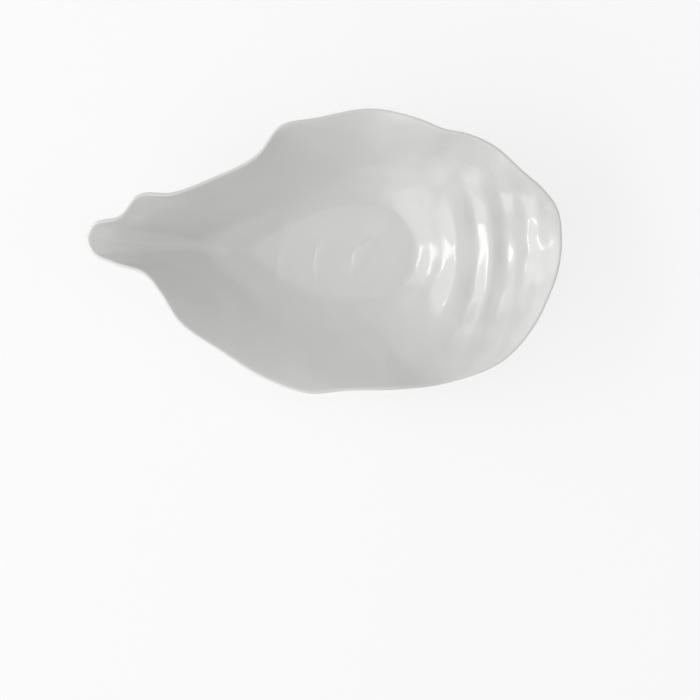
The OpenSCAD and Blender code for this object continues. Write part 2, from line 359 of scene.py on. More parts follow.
class FootSizes(bpy.types.PropertyGroup):
    """Sizes of the foot ring."""

    foot_breadth: length("Breadth", "Breadth of the foot ring", 0.006)
    foot_edge: length("Edge", "Radius of the two lower edges", 0.0009)
    around: count("Around", "Faces around the ring", 288, 12)
    corner: count("Corner", "Faces around each lower edge", 8, 2)


class PlateColours(bpy.types.PropertyGroup):
    """Colours of the glaze, darker in hollows partly as painted shade, and of the bare clay."""

    # The thin glaze colours crests and edges paler; the pooled glaze colours hollows darker and cooler,
    # partly as painted shade.
    thin_glaze: colour("Thin glaze", "Glaze where it runs thin over edges and crests", (0.72, 0.72, 0.705))
    pooled_glaze_and_shade: colour("Deep glaze", "Glaze where it pools in hollows", (0.65, 0.66, 0.64))
    bare_clay: colour("Bare clay", "Unglazed clay of the foot ring", (0.70, 0.69, 0.66))
    rubbed_clay: colour("Rubbed clay", "Clay where the foot rubs on the table", (0.42, 0.41, 0.40))
    speck: colour("Specks", "Fine specks in the clay", (0.34, 0.30, 0.25))


class StageSettings(bpy.types.PropertyGroup):
    """Camera, floor and lights."""

    view_elevation: FloatProperty(name="Elevation", description="Height of the camera above the horizon",
                                  default=math.radians(90.0), subtype="ANGLE", unit="ROTATION")
    view_distance: length("Distance", "Distance of the camera from the plate", 1.2235)
    lens_mm: FloatProperty(name="Lens", description="Focal length in millimetres", default=100.0,
                           subtype="DISTANCE_CAMERA", unit="CAMERA")
    plate_px_x: pixels("Plate across", "Pixel of the plate's middle, from the left", 325.0)
    plate_px_y: pixels("Plate down", "Pixel of the plate's middle, from the top", 251.5)
    floor_colour: colour("Floor", "Colour of the floor", (0.93, 0.93, 0.93))
    floor_lift: FloatProperty(name="Floor lift", default=0.7, min=0.0, max=1.0, subtype="FACTOR",
                              description="Share by which the floor is shown as plain white")
    sky_strength: FloatProperty(name="Sky", description="Strength of the even light from all around",
                                default=0.5)


def ramp(bounds, x):
    """Smooth step from 0 at the first bound to 1 at the second: 3t^2 - 2t^3."""
    t = np.clip((x - bounds[0]) / (bounds[1] - bounds[0]), 0.0, 1.0)
    return t * t * (3.0 - 2.0 * t)


def cubic(p, q, m, n, t):
    """Cubic from p to q with the tangents m and n at its ends, at t from 0 to 1."""
    return ((2 * t**3 - 3 * t**2 + 1) * p + (t**3 - 2 * t**2 + t) * m
            + (3 * t**2 - 2 * t**3) * q + (t**3 - t**2) * n)


def mix(p, q, t):
    """Straight blend from p to q."""
    return p + (q - p) * t


def random_field(x, y, pitch, seed):
    """Smooth random field from -1 to 1: random values on a square grid of the given pitch, blended between
    its four nearest corners by smooth steps."""
    side = FIELD_GRID
    table = np.random.default_rng(seed).uniform(-1.0, 1.0, (side, side))
    u, v = x / pitch, y / pitch
    i, j = np.floor(u).astype(int), np.floor(v).astype(int)
    a, b = ramp((0.0, 1.0), u - i), ramp((0.0, 1.0), v - j)
    low = mix(table[i % side, j % side], table[(i + 1) % side, j % side], a)
    high = mix(table[i % side, (j + 1) % side], table[(i + 1) % side, (j + 1) % side], a)
    return mix(low, high, b)


def noise(x, y, name):
    """One of the random fields, times its share."""
    share, pitch, seed = FIELDS[name]
    return share * random_field(x, y, pitch, seed)


def carved(x, y, name):
    """One of the random fields with sharp crests, times its share: 1 less twice the smooth field's size."""
    share, pitch, seed = FIELDS[name]
    return share * (1.0 - 2.0 * np.abs(random_field(x, y, pitch, seed)))


def unit(v):
    """Vectors along the last axis, at length 1."""
    return v / np.linalg.norm(v, axis=-1, keepdims=True)


def eased(points, times):
    """Closed row of points with eased corners: each point averaged 1-2-1 with its neighbours, repeatedly."""
    for _ in range(times):
        points = (np.roll(points, 1, 0) + 2 * points + np.roll(points, -1, 0)) / 4
    return points


def chords(points):
    """Distance in plan from each point of a closed row to the next."""
    return np.linalg.norm((np.roll(points, -1, 0) - points)[:, :2], axis=1)


def closed_curve(points, steps):
    """Smooth closed curve: a cubic over each chord, cut into that chord's number of steps.
    A point's tangent is the mean of its two chords' directions, each weighted by the other's length."""
    after = chords(points)[:, None]
    before = np.roll(after, 1, 0)
    heading = (np.roll(points, -1, 0) - points) / after
    tangent = (before * heading + after * np.roll(heading, 1, 0)) / (before + after)
    chord = np.repeat(np.arange(len(points)), steps)
    first = np.repeat(np.cumsum(steps) - steps, steps)
    t = ((np.arange(len(chord)) - first) / steps[chord])[:, None]
    follow = (chord + 1) % len(points)
    reach = after[chord]
    return cubic(points[chord], points[follow], reach * tangent[chord], reach * tangent[follow], t)


def inset(curve, by):
    """Closed clockwise curve moved inwards in plan, square to the line through each point's neighbours."""
    along = np.roll(curve, -1, 0) - np.roll(curve, 1, 0)
    outward = np.stack([-along[:, 1], along[:, 0], np.zeros(len(curve))], axis=1)
    return curve - by * unit(outward)


def polar(p, x, y, flat, turn):
    """Each point's distance from a middle in plan, with the distance across the plate shortened to the given
    share, and the cosine of its angle off a direction in degrees."""
    away = (p[..., :2] - np.array([x, y])) * np.array([1.0, flat])
    far = np.maximum(LEAST_FAR, np.linalg.norm(away, axis=-1))
    turn = math.radians(turn)
    return far, (away[..., 0] * math.cos(turn) + away[..., 1] * math.sin(turn)) / far


def girth(across):
    """Factor that turns an oval's width into an egg's: it grows evenly from the narrow end at -1 to the wide
    end at 1, and leaves the largest width as it is."""
    turn = np.linspace(0.0, math.pi, EGG_PLACES)
    widest = np.max(np.sin(turn) * (1.0 + EGG_SHARE * np.cos(turn)))
    return (1.0 + EGG_SHARE * np.clip(across, -1.0, 1.0)) / widest


def rise_at(rise, w):
    """Share of the wall's height at w: a cubic through the profile's values."""
    slope = np.gradient(rise)
    slope[0] = FLOOR_CREASE * rise[1]
    x = w * (len(rise) - 1)
    k = np.minimum(x.astype(int), len(rise) - 2)
    return cubic(rise[k], rise[k + 1], slope[k], slope[k + 1], x - k)


def step_shape(turns):
    """One step for each whole turn: a slow rise and a steep fall."""
    f = turns % 1.0
    return f**STEP_POWER * (1.0 - ramp(STEP_FALL, f))


class ShellForm:
    """The shell's smooth wall on rays from the floor's edge to the rim, and the relief that covers it.
    Along a ray, w goes from 0 at the floor's edge to 1 at the rim."""

    def __init__(self, sizes):
        self.sizes = sizes
        self.foot_middle = np.array([FOOT_LOW.x + FOOT_HIGH.x, FOOT_LOW.y + FOOT_HIGH.y]) / 2
        self.foot_half = np.array([FOOT_HIGH.x - FOOT_LOW.x, FOOT_HIGH.y - FOOT_LOW.y]) / 2
        self.seat_z = FOOT_HIGH.z
        self.floor_z = FOOT_HIGH.z + sizes.floor_thick
        self.middle = np.array([sizes.floor_shift, 0.0])
        self.half = np.array([sizes.plate_length, sizes.plate_width]) / 2
        low, high = RIM_DRAWN.min(0), RIM_DRAWN.max(0)
        drawn_middle = np.array([*(low + high)[:2] / 2, 0.0])
        top = sizes.plate_height - LIP_RISE * sizes.lip
        scale = np.array([*(2 * self.half / (high - low)[:2]), top / high[2]])
        points = (RIM_DRAWN - drawn_middle) * scale
        self.tip = points[0, :2]
        steps = np.ceil(chords(points) / sizes.rim_step).astype(int)
        reach = LIP_REACH * sizes.lip
        self.rim = inset(closed_curve(points, steps), reach)
        lower = np.column_stack([eased(points[:, :2], EASED_PLAN), eased(points[:, 2], EASED_HEIGHT)])
        self.eased_rim = inset(closed_curve(lower, steps), reach)
        floor_half = np.array([sizes.floor_length, sizes.floor_width]) / 2
        across = (self.rim[:, :2] - self.middle) / floor_half
        angle = np.arctan2(across[:, 1], across[:, 0])
        egg = np.stack([np.cos(angle), np.sin(angle) * girth(np.cos(angle))], axis=1)
        self.floor_edge = self.middle + floor_half * egg
        self.wide_share = np.maximum(0.0, np.cos(angle)) ** WIDE_POWER
        self.tip_share = np.maximum(0.0, -np.cos(angle)) ** TIP_POWER

    def wall(self, w):
        """Smooth wall for a column of w: straight in plan from the floor's edge to a rim that changes from
        the eased one to the true one, and raised by a blend of the profiles of the side, the wide end and
        the tip."""
        w = np.asarray(w, float).reshape(-1, 1)
        top = mix(self.eased_rim, self.rim, w[..., None] ** RIM_POWER)
        flat = mix(self.floor_edge, top[..., :2], w[..., None])
        side = rise_at(SIDE_RISE, w)
        rise = (side + self.wide_share * (rise_at(WIDE_RISE, w) - side)
                + self.tip_share * (rise_at(TIP_RISE, w) - side))
        return np.concatenate([flat, mix(self.floor_z, top[..., 2], rise)[..., None]], axis=2)

    def upward(self, w):
        """Direction up the wall along each ray."""
        w = np.asarray(w, float)
        return unit(self.wall(np.minimum(1.0, w + UP_STEP)) - self.wall(np.maximum(0.0, w - UP_STEP)))

    def normal(self, w):
        """Direction square to the wall, into the bowl."""
        wall = self.wall(w)
        return unit(np.cross(np.roll(wall, -1, 1) - np.roll(wall, 1, 1), self.upward(w)))

    def rings(self, p):
        """Relief inside: ridges in rings around a point towards the wide end, at radii that grow as the
        square root of their number, within a sector that opens to the wide end."""
        s = self.sizes
        x, y = p[..., 0], p[..., 1]
        far, towards = polar(p, s.ripple_shift, 0.0, RIPPLE_FLAT, RIPPLE_TURN)
        turns = (far / s.ripple_radius) ** 2 - RIPPLE_START + noise(x, y, "ripple_path")
        strength = ramp(RIPPLE_SECTOR, towards)
        strength = strength * ramp((s.ripple_radius / RIPPLE_FREE, s.ripple_radius), far)
        strength = strength * mix(1.0, RIPPLE_LEFT, ramp(RIPPLE_END, far / s.ripple_radius))
        strength = strength * (1.0 + noise(x, y, "ripple_strength"))
        ridges = np.arcsin(RIDGE_SHARP * np.cos(2 * math.pi * turns)) / math.asin(RIDGE_SHARP)
        return s.ripple_height * strength * ridges

    def crescents(self, p):
        """Relief inside: low steps in arcs around a point towards the wide end, each a slow rise and a steep
        fall outwards, that face the tip and fade to both sides of their own direction."""
        s = self.sizes
        x, y = p[..., 0], p[..., 1]
        away = p[..., :2] - np.array([s.crescent_shift, -s.crescent_offset])
        steps = np.linalg.norm(away, axis=-1) / s.crescent_pitch - CRESCENT_LAG
        steps = steps + noise(x, y, "crescent_path") + noise(x, y, "crescent_path_fine")
        step = np.clip(np.rint(steps).astype(int), 0, len(CRESCENT_MIDDLE) - 1)
        angle = np.degrees(np.arctan2(away[..., 1], away[..., 0]))
        turn = np.abs((angle - CRESCENT_MIDDLE[step] + 180) % 360 - 180)
        f = steps % 1.0
        crescent = f * (1.0 - ramp(CRESCENT_RISER, f)) - 0.5
        near = ramp(CRESCENT_START, steps) * (1.0 - ramp(CRESCENT_END, steps))
        near = near * (1.0 - ramp(CRESCENT_FADE, turn / CRESCENT_REACH[step]))
        return s.crescent_height * CRESCENT_SHARE[step] * near * crescent

    def waves(self, p):
        """Relief inside: uneven waves, higher towards the wide end and highest at its edge."""
        x, y = p[..., 0], p[..., 1]
        along = x / self.half[0]
        growth = mix(WAVES_TIP, 1.0, ramp(WAVES_START, along))
        growth = growth * mix(1.0, WAVES_EDGE, ramp(WAVES_WIDE, along))
        return self.sizes.hand_waves * (growth * (noise(x, y, "waves") + noise(x, y, "waves_fine")))

    def ripple(self, p):
        """All relief inside: the sum of the rings, the crescents and the waves."""
        return self.rings(p) + self.crescents(p) + self.waves(p)

    def terraces(self, p, w):
        """Relief outside: steps parallel to the rim under the wide end, each a slow rise and a steep fall,
        and one soft ledge along both sides."""
        s = self.sizes
        x, y, z = np.moveaxis(p, -1, 0)
        along, across = x / self.half[0], np.abs(y) / self.half[1]
        turns = s.terrace_count * w + noise(x, y + z, "terrace_path")
        turns = turns + noise(x, y + PATH_CLOSE * z, "terrace_path_fine")
        wide = ramp(WIDE_START, along) * ramp(WIDE_END, across)
        uneven = 1.0 + noise(x + y, DEPTH_CLOSE * z, "terrace_depth")
        fine = TERRACE_FINE * step_shape(TERRACE_FINE_COUNT * turns + noise(x, y + z, "fine_terrace_path"))
        steps = wide * uneven * (step_shape(turns) + fine) * (1.0 - ramp(TERRACE_END, w))
        edge = w + noise(x, y, "ledge_path")
        ledge = LEDGE_SHARE * (1.0 - wide) * ramp(LEDGE_START, edge) * (1.0 - ramp(LEDGE_END, edge))
        return s.terrace_depth * (steps + ledge) * (1.0 - ramp(BEAK_START, along))

    def pleats(self, p, w):
        """Relief outside: overlapping layers beside the tip, each a slow rise and a steep fall away from it.
        They follow lines that lean towards the tip as they climb, each further away than the last by one
        factor."""
        s = self.sizes
        x, y, z = np.moveaxis(p, -1, 0)
        away = np.maximum(PLEAT_LEAST * s.first_pleat, x - self.tip[0] + PLEAT_LEAN * (z - self.seat_z))
        number = np.log(away / s.first_pleat) / math.log(PLEAT_GROWTH) + noise(x, y + z, "pleat_path")
        number = number + noise(x, y + PATH_CLOSE * z, "pleat_path_fine")
        depth = s.pleat_depth * ramp(PLEAT_START, number) * (1.0 - ramp(PLEAT_END, number))
        depth = depth * ramp(BEAK_START, x / self.half[0]) * (1.0 - ramp(PLEAT_TOP, w))
        depth = depth * mix(KEEL_RELIEF, 1.0, ramp(KEEL_SIDE, np.abs(y - self.tip[1]) / self.half[1]))
        fine = PLEAT_FINE * step_shape(PLEAT_FINE_COUNT * number + noise(x, y + z, "fine_pleat_path"))
        uneven = 1.0 + noise(x + y, DEPTH_CLOSE * z, "pleat_depth")
        return depth * uneven * (step_shape(number) + fine)

    def wrinkle(self, p, w):
        """Relief outside: uneven lumps, carved streaks along the plate and, towards the tip, streaks and
        creases that lean with the pleats, each crease a slow rise and a steep fall, all lower towards the
        rim."""
        s = self.sizes
        x, y, z = np.moveaxis(p, -1, 0)
        along = x / self.half[0]
        level = (carved(x + STREAK_LEAN * z, STREAK_CLOSE * z, "streaks")
                 + noise(x + STREAK_LEAN_FINE * z, STREAK_CLOSE * z, "streaks_fine"))
        lean, climb = x + CREASE_LEAN * z, z - CREASE_LEAN * x
        leaning = (carved(lean, LEANING_CLOSE * climb, "leaning")
                   + noise(lean, LEANING_CLOSE * climb + y, "leaning_fine"))
        streaks = STREAK_SHARE * mix(level, leaning, ramp(CREASE_START, along))
        lumps = noise(x, y + z, "lumps")
        turns = lean / s.crease_pitch + noise(x, y + z, "crease_path")
        turns = turns + noise(lean, climb, "crease_path_fine")
        depth = s.crease_depth * ramp(CREASE_START, along) * (1.0 - ramp(CREASE_END, along))
        depth = depth * ramp(CREASE_HEIGHT, w) * (1.0 + noise(x + y, z, "crease_depth"))
        creases = depth * step_shape(turns)
        return (creases + s.wrinkles * (streaks + lumps)) * (1.0 - WRINKLE_FADE * ramp(WRINKLE_TOP, w))

    def floor_rows(self, q):
        """Flat floor from its middle at q = 0 to its edge at q = 1, with the relief inside."""
        flat = mix(self.middle, self.floor_edge, np.asarray(q)[:, None, None])
        return np.concatenate([flat, (self.floor_z + self.ripple(flat))[..., None]], axis=2)

    def inner_rows(self, w):
        """Inner wall: the smooth wall, moved along its normal by the relief and the trough's filling."""
        wall = self.wall(w)
        filling = self.sizes.trough_extra * ramp(TROUGH_START, w) * (1.0 - ramp(TROUGH_END, w))
        relief = self.ripple(wall) * (1.0 - ramp(RELIEF_END, w))[:, None]
        height = relief + filling[:, None] * self.tip_share
        return wall + self.normal(w) * height[..., None]

    def lip_rows(self, turn):
        """Rounded lip: half a circle from the wall's inner face over the rim to its outer face."""
        one = np.ones(1)
        n, up = self.normal(one), self.upward(one)
        turn = np.asarray(turn)[:, None, None]
        return self.wall(one) + self.sizes.lip / 2 * ((np.cos(turn) - 1.0) * n + np.sin(turn) * up)

    def outer_rows(self, w):
        """Outer wall: the smooth wall moved out by its thickness and relief, flat where the foot is."""
        s = self.sizes
        keel = ramp(BEAK_THICK, self.rim[:, 0] / self.half[0])
        full = s.wall + s.beak_extra * keel
        w = np.asarray(w)[:, None]
        heel = mix(s.floor_thick, full, ramp((0.0, HEEL_END), w))
        thick = mix(s.lip, heel, ramp((1.0, mix(LIP_START, KEEL_START, keel)), w))
        n = self.normal(w[:, 0])
        plain = self.wall(w) - thick[..., None] * n
        clear = np.linalg.norm((plain[..., :2] - self.foot_middle) / self.foot_half, axis=2)
        relief = (self.pleats(plain, w) + self.wrinkle(plain, w)) * ramp(PLEAT_ONSET, clear)
        relief = relief + self.terraces(plain, w) * ramp(TERRACE_START, clear)
        relief = relief * (1.0 - ramp(RELIEF_END, w))
        p = plain - relief[..., None] * n
        p[..., 2] = self.seat_z + np.maximum(0.0, p[..., 2] - self.seat_z) * ramp(SEAT_END, clear)
        return p

    def surface(self):
        """All rows from the floor's middle out over the rim to the foot's seat, and the two poles."""
        s = self.sizes
        rows = np.concatenate([
            self.floor_rows(np.arange(1, s.floor_rows) / s.floor_rows),
            self.inner_rows(np.linspace(0.0, 1.0, s.inner_rows + 1)),
            self.lip_rows(math.pi * np.arange(1, s.lip_rows + 1) / (s.lip_rows + 1)),
            self.outer_rows(np.linspace(1.0, 0.0, s.outer_rows + 1)),
        ])
        floor_pole = [*self.middle, self.floor_z + float(self.ripple(self.middle))]
        points = np.concatenate([rows.reshape(-1, 3), [floor_pole, [*self.middle, self.seat_z]]])
        return self.fitted(points), rows.shape[:2]

    def fitted(self, points):
        """Points stretched to the solid part's box: across to its sides, and up from the foot to its top."""
        low, high = np.array(CAD_BOX)
        below, above = points.min(0), points.max(0)
        low[2] = below[2] = self.seat_z
        return low + (points - below) * (high - low) / (above - below)


def grid_faces(rows, columns, closed):
    """Corner numbers of a grid's four-sided faces. The grid closes around its columns and, if closed, around
    its rows."""
    number = np.arange(rows * columns).reshape(rows, columns)
    upper = number if closed else number[:-1]
    lower = np.roll(number, -1, 0) if closed else number[1:]
    faces = np.stack([upper, np.roll(upper, -1, 1), np.roll(lower, -1, 1), lower], axis=2)
    return faces.reshape(-1, 4)


def make_mesh(name, points, quads, triangles=np.zeros((0, 3), int)):
    """Smooth-shaded mesh object from arrays of points and of the faces' corner numbers."""
    mesh = bpy.data.meshes.new(name)
    corners = np.concatenate([quads.ravel(), triangles.ravel()])
    sizes = np.concatenate([np.full(len(quads), 4), np.full(len(triangles), 3)])
    mesh.vertices.add(len(points))
    mesh.vertices.foreach_set("co", points.astype(np.float32).ravel())
    mesh.loops.add(len(corners))
    mesh.loops.foreach_set("vertex_index", corners.astype(np.int32))
    mesh.polygons.add(len(sizes))
    mesh.polygons.foreach_set("loop_start", (np.cumsum(sizes) - sizes).astype(np.int32))
    mesh.polygons.foreach_set("use_smooth", np.ones(len(sizes), bool))
    mesh.update(calc_edges=True)
    mesh.validate()
    piece = bpy.data.objects.new(name, mesh)
    bpy.context.scene.collection.objects.link(piece)
    return piece


def hollows(piece, rows):
    """How hollow the surface is, from 0 on crests to 1 in hollows: the distance from each point to the mean
    of four points a few rows and columns away, along the surface's normal, against HOLLOW_DEPTH."""
    # The glaze darkens hollows by this mask, as pooled glaze and as painted shade.
    normal = np.empty(3 * len(piece.data.vertices), np.float32)
    piece.data.vertices.foreach_get("normal", normal)
    normal = normal.reshape(-1, 3)[:rows.shape[0] * rows.shape[1]].reshape(rows.shape)
    tall = np.pad(rows, ((HOLLOW_ROWS, HOLLOW_ROWS), (0, 0), (0, 0)), mode="edge")
    around = (tall[2 * HOLLOW_ROWS:] + tall[:-2 * HOLLOW_ROWS]
              + np.roll(rows, HOLLOW_COLUMNS, 1) + np.roll(rows, -HOLLOW_COLUMNS, 1)) / 4
    return np.clip(0.5 + np.sum((around - rows) * normal, axis=2) / (2 * HOLLOW_DEPTH), 0.0, 1.0)


def point_values(piece, name, values):
    """Stores one number for each point of a piece, for its material to read."""
    layer = piece.data.attributes.new(name, "FLOAT", "POINT")
    layer.data.foreach_set("value", values.astype(np.float32).ravel())


def attach(tree, node, inputs):
    """Links the inputs of a node that vary, and sets those that don't."""
    for key, value in inputs.items():
        if isinstance(value, bpy.types.NodeSocket):
            tree.links.new(value, node.inputs[key])
        else:
            node.inputs[key].default_value = value


def add(tree, kind, inputs=None, **options):
    """Adds a node with its options and inputs."""
    node = tree.nodes.new("ShaderNode" + kind)
    for key, value in options.items():
        setattr(node, key, value)
    attach(tree, node, inputs or {})
    return node


def math_node(tree, operation, *values):
    """Result of one sum on numbers or sockets."""
    return add(tree, "Math", dict(enumerate(values)), operation=operation).outputs[0]


def mix_colours(tree, mask, first, second):
    """Blend of two colours by a mask."""
    inputs = {MIX_MASK: mask, MIX_FIRST: first, MIX_SECOND: second}
    return add(tree, "Mix", inputs, data_type="RGBA").outputs[MIX_RESULT]


def tinted(tree, mask, share, first, second):
    """First colour, moved towards the second by a share of a mask."""
    return mix_colours(tree, math_node(tree, "MULTIPLY", mask, share), first, second)


def span(tree, value, low, high):
    """Value from 0 to 1, spread from low to high."""
    return add(tree, "MapRange", {"Value": value, "To Min": low, "To Max": high}).outputs["Result"]


def grain(tree, place, scale, detail):
    """Cloudy value around one half, of a scale in clouds to the metre."""
    return add(tree, "TexNoise", {"Vector": place, "Scale": scale, "Detail": detail}).outputs["Fac"]


def stored(tree, name):
    """Number that is stored for each point of the piece."""
    return add(tree, "Attribute", attribute_name=name).outputs["Fac"]


def opaque(values):
    """A colour property as a socket's four numbers."""
    return (*values, 1.0)


def new_group(name, inputs, outputs):
    """Empty shader node group with the named inputs and outputs."""
    tree = bpy.data.node_groups.new(name, "ShaderNodeTree")
    for label, kind, default in inputs:
        socket = tree.interface.new_socket(label, in_out="INPUT", socket_type="NodeSocket" + kind)
        if default is not None:
            socket.default_value = default
    for label, kind in outputs:
        tree.interface.new_socket(label, in_out="OUTPUT", socket_type="NodeSocket" + kind)
    start = tree.nodes.new("NodeGroupInput")
    end = tree.nodes.new("NodeGroupOutput")
    return tree, start.outputs, end.inputs


def mottle_group():
    """Slow, cloudy variation from 0 to 1."""
    inputs = [("Vector", "Vector", None), ("Scale", "Float", 20.0), ("Detail", "Float", 3.0)]
    tree, given, result = new_group("mottle", inputs, [("Value", "Float")])
    cloud = grain(tree, given["Vector"], given["Scale"], given["Detail"])
    spread = add(tree, "MapRange", {"Value": cloud, "From Min": 0.15, "From Max": 0.85})
    tree.links.new(spread.outputs["Result"], result["Value"])
    return tree


def speck_group():
    """Mask of sparse round specks: the middles of some cells of a cell pattern."""
    inputs = [("Vector", "Vector", None), ("Scale", "Float", 300.0), ("Share", "Float", 0.1)]
    tree, given, result = new_group("clay_specks", inputs, [("Mask", "Float")])
    cells = add(tree, "TexVoronoi", {"Vector": given["Vector"], "Scale": given["Scale"]})
    chosen = math_node(tree, "LESS_THAN", cells.outputs["Color"], given["Share"])
    spot = add(tree, "MapRange", {"Value": cells.outputs["Distance"], "From Min": 0.22, "From Max": 0.10})
    tree.links.new(math_node(tree, "MULTIPLY", chosen, spot.outputs["Result"]), result["Mask"])
    return tree


def group_node(tree, name, inputs):
    """Places a shared node group, which is made at its first use."""
    makers = {"mottle": mottle_group, "clay_specks": speck_group}
    group = bpy.data.node_groups.get(name) or makers[name]()
    return add(tree, "Group", inputs, node_tree=group).outputs[0]


def new_material(name):
    """Material with its nodes and its shader."""
    material = bpy.data.materials.new(name)
    material.use_nodes = True
    tree = material.node_tree
    return material, tree, tree.nodes["Principled BSDF"]


def glaze_material(colours):
    """White glaze: darker and cooler in hollows where it pools, partly as painted shade, paler where it runs
    thin, glossy inside and satin outside, with the slow waves of a fired glaze and a few faint specks of the
    clay under it."""
    material, tree, shader = new_material("porcelain_glaze")
    place = add(tree, "TexCoord").outputs["Object"]
    cloud = group_node(tree, "mottle", {"Vector": place, "Scale": 26.0, "Detail": 1.0})
    specks = group_node(tree, "clay_specks", {"Vector": place, "Scale": 180.0, "Share": 0.05})
    clouded = math_node(tree, "MULTIPLY_ADD", cloud, GLAZE_CLOUD, -GLAZE_CLOUD / 2)
    # Hollows darken towards the pooled glaze colour, partly as painted shade.
    pooled_and_shaded = math_node(tree, "ADD", stored(tree, "glaze_pooling_and_shade"), clouded)
    body = mix_colours(tree, pooled_and_shaded, opaque(colours.thin_glaze), opaque(colours.pooled_glaze_and_shade))
    paint = tinted(tree, specks, GLAZE_SPECKS, body, opaque(colours.speck))
    satin = span(tree, stored(tree, "outside"), *GLAZE_ROUGHNESS)
    uneven = math_node(tree, "MULTIPLY_ADD", cloud, GLAZE_UNEVEN, satin)
    waves = grain(tree, place, scale=70.0, detail=1.0)
    peel = grain(tree, place, scale=420.0, detail=1.0)
    height = math_node(tree, "MULTIPLY_ADD", peel, GLAZE_PEEL, waves)
    bump = add(tree, "Bump", {"Strength": 0.15, "Distance": 0.0006, "Height": height}).outputs["Normal"]
    attach(tree, shader, {"Base Color": paint, "Roughness": uneven, "Normal": bump, "IOR": GLAZE_IOR})
    return material


def clay_material(colours):
    """Bare fired clay: matt and slightly warm, with sandy grain, specks and grey rubbing where it stands."""
    material, tree, shader = new_material("bare_clay")
    place = add(tree, "TexCoord").outputs["Object"]
    cloud = group_node(tree, "mottle", {"Vector": place, "Scale": 60.0, "Detail": 5.0})
    specks = group_node(tree, "clay_specks", {"Vector": place, "Scale": 420.0, "Share": 0.16})
    worn = stored(tree, "standing")
    pale = tinted(tree, cloud, CLAY_CLOUD, opaque(colours.bare_clay), opaque(colours.thin_glaze))
    rubbed = tinted(tree, worn, CLAY_RUBBED, pale, opaque(colours.rubbed_clay))
    paint = tinted(tree, specks, CLAY_SPECKS, rubbed, opaque(colours.speck))
    sand = grain(tree, place, scale=1500.0, detail=3.0)
    bump = add(tree, "Bump", {"Strength": 0.5, "Distance": 0.0003, "Height": sand}).outputs["Normal"]
    rough = span(tree, worn, *CLAY_ROUGHNESS)
    attach(tree, shader, {"Base Color": paint, "Roughness": rough, "Normal": bump})
    return material


def shown(tree):
    """Mask of the rays that show the plain background: seen directly, in a reflection or through glass."""
    path = add(tree, "LightPath").outputs
    direct = math_node(tree, "MAXIMUM", path["Is Camera Ray"], path["Is Glossy Ray"])
    return math_node(tree, "MAXIMUM", direct, path["Is Transmission Ray"])


def floor_material(settings):
    """Pale matt floor that keeps the plate's shadow, lifted towards white where it is shown."""
    material, tree, shader = new_material("pale_floor")
    attach(tree, shader, {"Base Color": opaque(settings.floor_colour), "Roughness": 0.9})
    white = add(tree, "Emission", {"Color": WHITE, "Strength": 1.0}).outputs["Emission"]
    lift = math_node(tree, "MULTIPLY", shown(tree), settings.floor_lift)
    both = add(tree, "MixShader", {0: lift, 1: shader.outputs["BSDF"], 2: white})
    attach(tree, tree.nodes["Material Output"], {"Surface": both.outputs["Shader"]})
    return material


def dress(piece, material, node):
    """Gives a piece its material, hangs it under the root body and hides the solid part that it stands for.
    """
    piece.data.materials.append(material)
    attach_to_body(piece, "root")
    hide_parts(node)


class SHELLPLATE_OT_shell(bpy.types.Operator):
    """Makes the glazed shell: floor, inner wall, lip and outer wall as one closed surface"""

    bl_idname = "shell_plate.shell"
    bl_label = "Glazed shell"

    def execute(self, context):
        sizes = context.scene.shell_sizes
        points, (rows, rays) = ShellForm(sizes).surface()
        quads = grid_faces(rows, rays, closed=False)
        first = np.arange(rays)
        last = first + (rows - 1) * rays
        pole = np.full(rays, rows * rays)
        triangles = np.concatenate([
            np.stack([pole, np.roll(first, -1), first], axis=1),
            np.stack([pole + 1, last, np.roll(last, -1)], axis=1),
        ])
        piece = make_mesh("glazed_shell", points, quads, triangles)
        lip = sizes.floor_rows + sizes.inner_rows
        outside = np.repeat(ramp((lip, lip + sizes.lip_rows), np.arange(rows)), rays)
        point_values(piece, "outside", np.append(outside, [0.0, 1.0]))
        # How hollow each point is, which darkens the glaze there, partly as painted shade.
        hollow = hollows(piece, points[:-2].reshape(rows, rays, 3))
        point_values(piece, "glaze_pooling_and_shade", np.append(hollow, [0.5, 0.5]))
        dress(piece, glaze_material(context.scene.plate_colours), "shell_body")
        return {"FINISHED"}


def foot_surface(sizes):
    """Foot ring: a section with two rounded lower corners, from its outer top edge down, under and up to its
    inner top edge, carried around an oval whose two half axes shrink by the section's distance inwards."""
    middle = (FOOT_LOW + FOOT_HIGH) / 2
    half = (FOOT_HIGH - FOOT_LOW) / 2
    turn = np.linspace(0.0, math.pi / 2, sizes.corner + 1)
    edge, breadth, top = sizes.foot_edge, sizes.foot_breadth, 2 * half.z
    outer, inner = edge * (1 - np.cos(turn)), breadth - edge * (1 - np.cos(turn[::-1]))
    fall, climb = edge * (1 - np.sin(turn)), edge * (1 - np.sin(turn[::-1]))
    inwards = np.concatenate([[0.0], outer, inner, [breadth]])
    upwards = np.concatenate([[top], fall, climb, [top]])
    angle = np.linspace(0.0, 2 * math.pi, sizes.around, endpoint=False)
    x = middle.x + (half.x - inwards[:, None]) * np.cos(angle)
    y = middle.y + (half.y - inwards[:, None]) * np.sin(angle)
    z = FOOT_LOW.z + np.broadcast_to(upwards[:, None], x.shape)
    return np.stack([x, y, z], axis=2)


